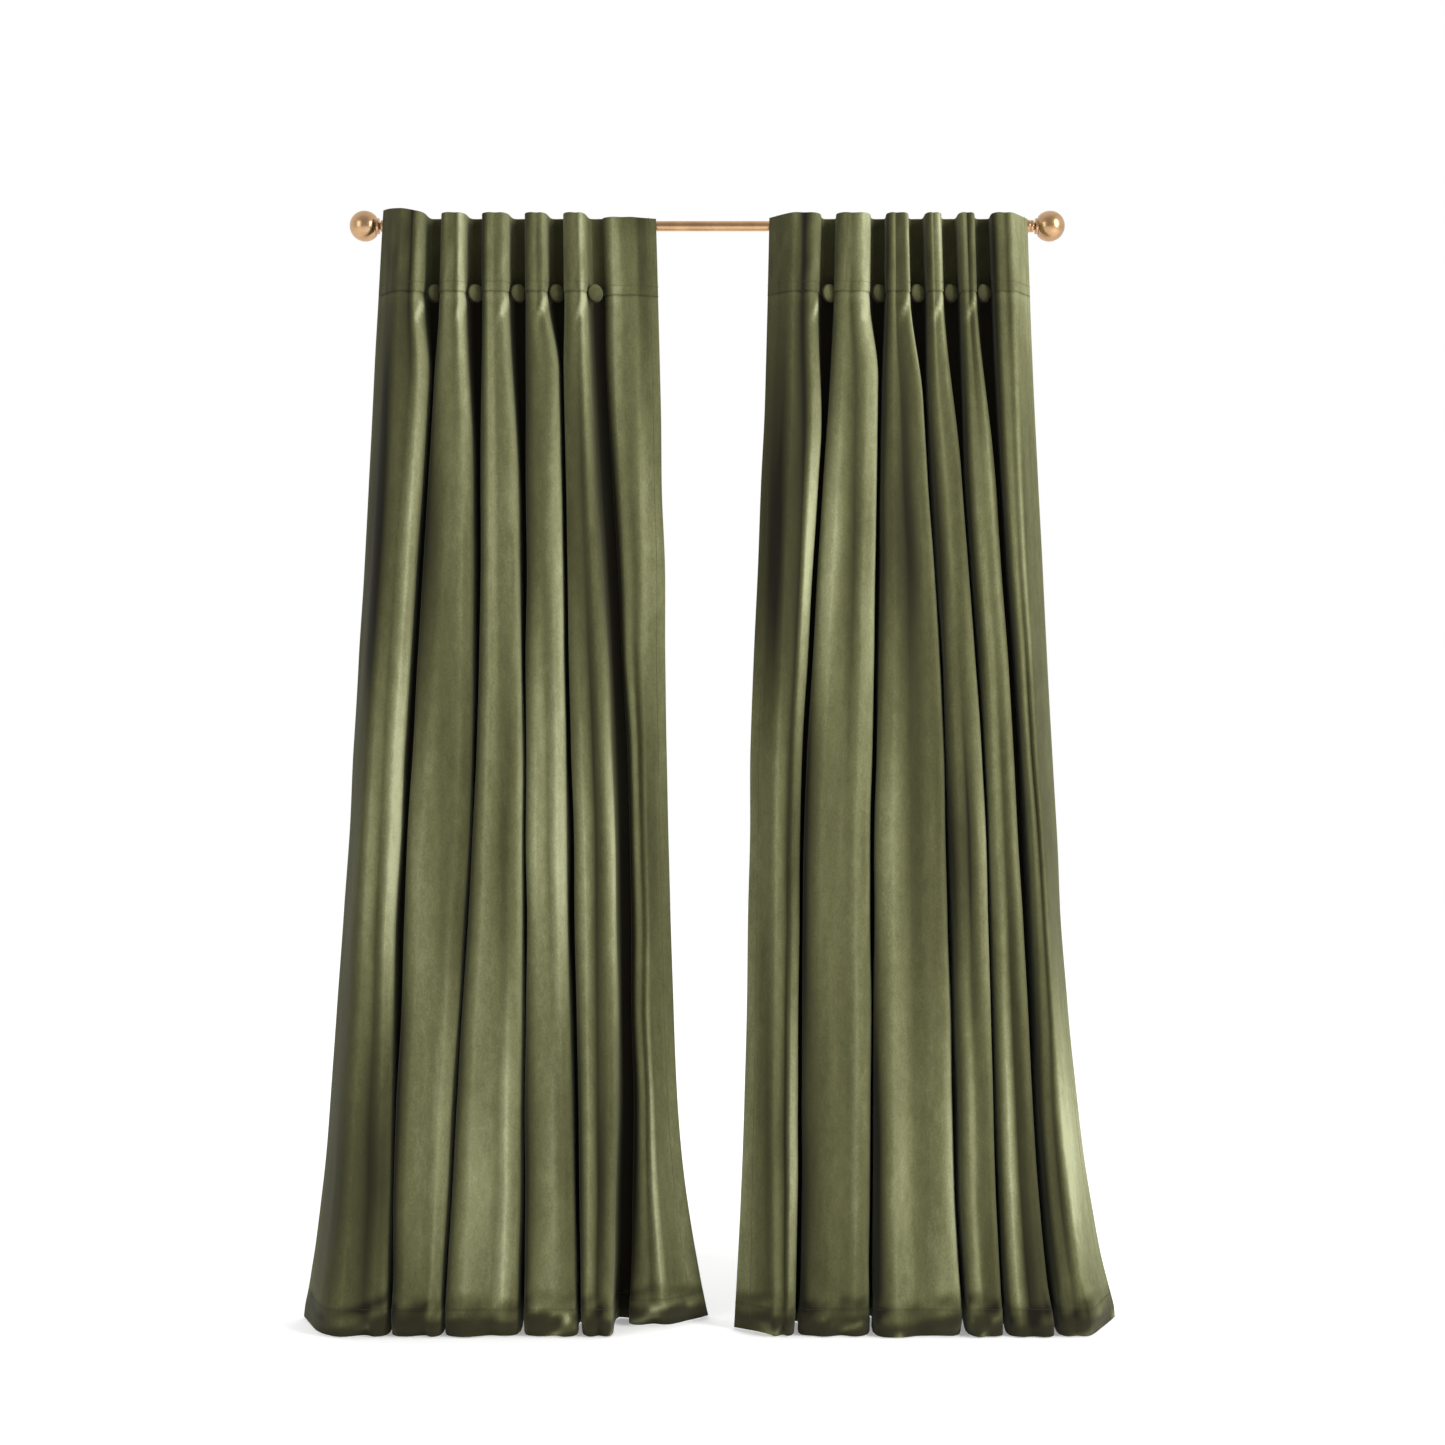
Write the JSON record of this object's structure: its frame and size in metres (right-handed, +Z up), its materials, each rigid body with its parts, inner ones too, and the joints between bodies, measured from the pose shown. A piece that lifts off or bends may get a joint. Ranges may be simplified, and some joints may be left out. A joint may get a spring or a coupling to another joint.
{
  "type": "curtain pair on rod",
  "caption": "Pair of floor-length velvet panels with buttoned pleated headings, drawn on a telescoping brass rod with ball finials and wall brackets.",
  "frame": {"origin": "On the wall's face, halfway between the two brackets, at the height of the rod's axis. The hem is 2.09 m below it.", "axes": "+X along the rod towards the right-hand finial as seen from the room, +Y into the wall, so the room is towards -Y, and +Z up."},
  "size_m": [1.558, 0.2151, 2.1141],
  "materials": {
    "velvet": "olive green velvet with a dull woven back",
    "button_velvet": "buttons covered in the same velvet",
    "tab_cloth": "plain woven loops",
    "rod_brass": "polished antique brass tube",
    "finial_brass": "satin antique brass",
    "bracket_brass": "satin antique brass",
    "steel": "plain steel screws"
  },
  "bodies": {
    "rod_and_brackets": {"rod_outer_tube": "rod_brass", "rod_inner_tube": "rod_brass", "finial_sleeve_left": "finial_brass", "finial_ball_left": "finial_brass", "finial_grub_screw_left": "steel", "bracket_plate_left": "bracket_brass", "bracket_arm_left": "bracket_brass", "bracket_cradle_left": "bracket_brass", "bracket_clamp_screw_left": "steel", "wall_screw_upper_left": "steel", "wall_screw_lower_left": "steel", "finial_sleeve_right": "finial_brass", "finial_ball_right": "finial_brass", "finial_grub_screw_right": "steel", "bracket_plate_right": "bracket_brass", "bracket_arm_right": "bracket_brass", "bracket_cradle_right": "bracket_brass", "bracket_clamp_screw_right": "steel", "wall_screw_upper_right": "steel", "wall_screw_lower_right": "steel", "left_cloth_1": "velvet", "left_tab_1": "tab_cloth", "right_cloth_6": "velvet", "right_tab_6": "tab_cloth", "right_tab_7": "tab_cloth", "right_button_5": "button_velvet"},
    "left_fold_1": {"left_cloth_2": "velvet", "left_tab_2": "tab_cloth", "left_button_1": "button_velvet"},
    "left_fold_2": {"left_cloth_3": "velvet", "left_tab_3": "tab_cloth", "left_button_2": "button_velvet"},
    "left_fold_3": {"left_cloth_4": "velvet", "left_tab_4": "tab_cloth", "left_button_3": "button_velvet"},
    "left_fold_4": {"left_cloth_5": "velvet", "left_tab_5": "tab_cloth", "left_button_4": "button_velvet"},
    "left_fold_5": {"left_cloth_6": "velvet", "left_tab_6": "tab_cloth", "left_button_5": "button_velvet", "left_tab_7": "tab_cloth"},
    "right_fold_1": {"right_cloth_5": "velvet", "right_tab_5": "tab_cloth", "right_button_4": "button_velvet"},
    "right_fold_2": {"right_cloth_4": "velvet", "right_tab_4": "tab_cloth", "right_button_3": "button_velvet"},
    "right_fold_3": {"right_cloth_3": "velvet", "right_tab_3": "tab_cloth", "right_button_2": "button_velvet"},
    "right_fold_4": {"right_cloth_2": "velvet", "right_tab_2": "tab_cloth", "right_button_1": "button_velvet"},
    "right_fold_5": {"right_cloth_1": "velvet", "right_tab_1": "tab_cloth"}
  },
  "joints": [
    {"name": "left_draw", "type": "slide", "parent": "rod_and_brackets", "child": "left_fold_1", "axis": [1, 0, 0], "range_m": [-0.018, 0.0216]},
    {"name": "left_draw_2", "type": "slide", "parent": "left_fold_1", "child": "left_fold_2", "axis": [1, 0, 0], "range_m": [-0.018, 0.0216]},
    {"name": "left_draw_3", "type": "slide", "parent": "left_fold_2", "child": "left_fold_3", "axis": [1, 0, 0], "range_m": [-0.018, 0.0216]},
    {"name": "left_draw_4", "type": "slide", "parent": "left_fold_3", "child": "left_fold_4", "axis": [1, 0, 0], "range_m": [-0.018, 0.0216]},
    {"name": "left_draw_5", "type": "slide", "parent": "left_fold_4", "child": "left_fold_5", "axis": [1, 0, 0], "range_m": [-0.018, 0.0216]},
    {"name": "right_draw", "type": "slide", "parent": "rod_and_brackets", "child": "right_fold_1", "axis": [-1, 0, 0], "range_m": [-0.018, 0.0216]},
    {"name": "right_draw_2", "type": "slide", "parent": "right_fold_1", "child": "right_fold_2", "axis": [-1, 0, 0], "range_m": [-0.018, 0.0216]},
    {"name": "right_draw_3", "type": "slide", "parent": "right_fold_2", "child": "right_fold_3", "axis": [-1, 0, 0], "range_m": [-0.018, 0.0216]},
    {"name": "right_draw_4", "type": "slide", "parent": "right_fold_3", "child": "right_fold_4", "axis": [-1, 0, 0], "range_m": [-0.018, 0.0216]},
    {"name": "right_draw_5", "type": "slide", "parent": "right_fold_4", "child": "right_fold_5", "axis": [-1, 0, 0], "range_m": [-0.018, 0.0216]}
  ],
  "couplings": [
    {"joint": "left_draw_2", "follows": "left_draw", "ratio": 1},
    {"joint": "left_draw_3", "follows": "left_draw", "ratio": 1},
    {"joint": "left_draw_4", "follows": "left_draw", "ratio": 1},
    {"joint": "left_draw_5", "follows": "left_draw", "ratio": 1},
    {"joint": "right_draw_2", "follows": "right_draw", "ratio": 1},
    {"joint": "right_draw_3", "follows": "right_draw", "ratio": 1},
    {"joint": "right_draw_4", "follows": "right_draw", "ratio": 1},
    {"joint": "right_draw_5", "follows": "right_draw", "ratio": 1}
  ]
}
